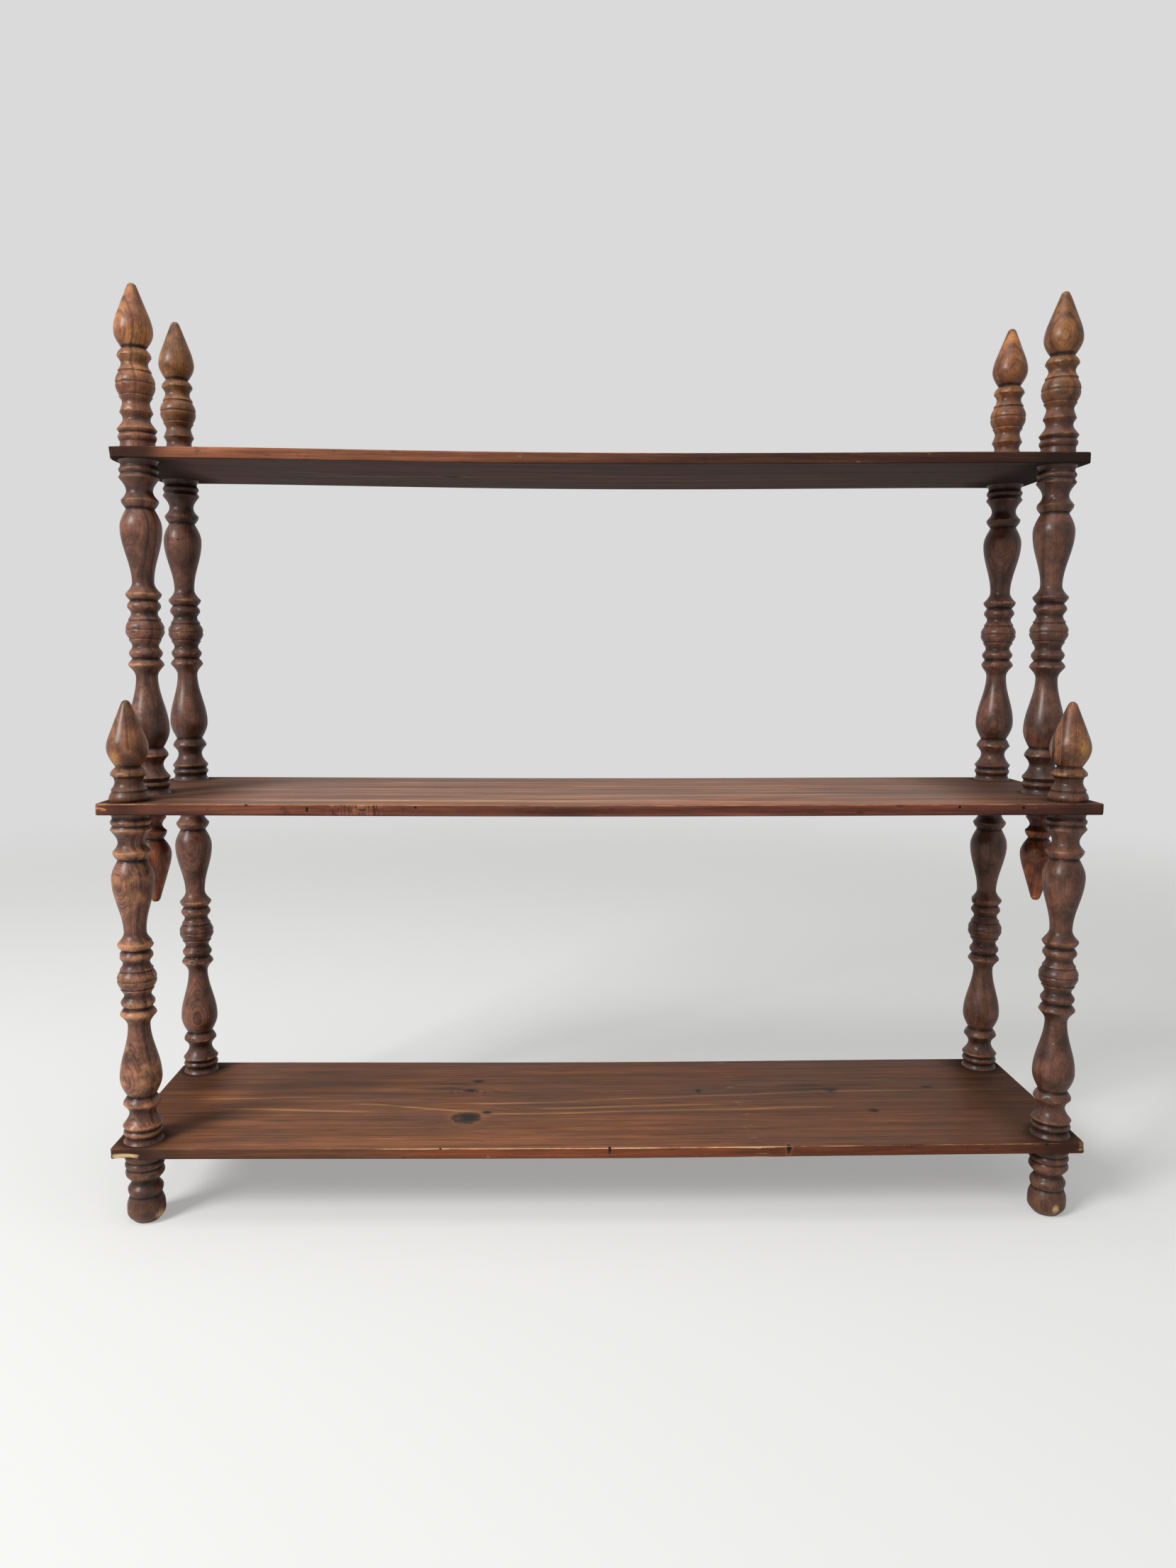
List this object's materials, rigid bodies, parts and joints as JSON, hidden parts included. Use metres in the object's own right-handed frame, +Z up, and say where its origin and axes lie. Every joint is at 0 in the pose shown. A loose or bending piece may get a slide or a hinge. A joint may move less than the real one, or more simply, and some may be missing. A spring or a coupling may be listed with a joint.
{
  "type": "wall shelf",
  "caption": "Dark-stained turned-spindle wall shelf: thin plank tiers on baluster posts with pointed finials, drop pendants and ball feet, for display and books.",
  "frame": {"origin": "centre of the footprint, on the plane that the feet stand on", "axes": "+X along the shelves to the right of someone facing the front, +Y towards the wall behind, +Z up"},
  "size_m": [0.75, 0.182, 0.7174],
  "materials": {
    "plank_wood": "dark walnut stain, worn satin varnish",
    "spindle_wood": "dark walnut stain, satin varnish, turned",
    "finial_wood": "walnut stain worn thin, satin varnish, turned",
    "pendant_wood": "dark walnut stain, satin varnish, turned",
    "foot_wood": "dark walnut stain, worn, turned"
  },
  "bodies": {
    "root": {"top_shelf": "plank_wood", "middle_shelf": "plank_wood", "bottom_shelf": "plank_wood", "upper_spindle_rear_left": "spindle_wood", "upper_spindle_rear_right": "spindle_wood", "upper_spindle_front_left": "spindle_wood", "upper_spindle_front_right": "spindle_wood", "lower_spindle_rear_left": "spindle_wood", "lower_spindle_rear_right": "spindle_wood", "lower_spindle_front_left": "spindle_wood", "lower_spindle_front_right": "spindle_wood", "tall_finial_rear_left": "finial_wood", "tall_finial_rear_right": "finial_wood", "tall_finial_front_left": "finial_wood", "tall_finial_front_right": "finial_wood", "short_finial_left": "finial_wood", "short_finial_right": "finial_wood", "drop_pendant_left": "pendant_wood", "drop_pendant_right": "pendant_wood", "foot_rear_left": "foot_wood", "foot_rear_right": "foot_wood", "foot_front_left": "foot_wood", "foot_front_right": "foot_wood"}
  },
  "joints": []
}
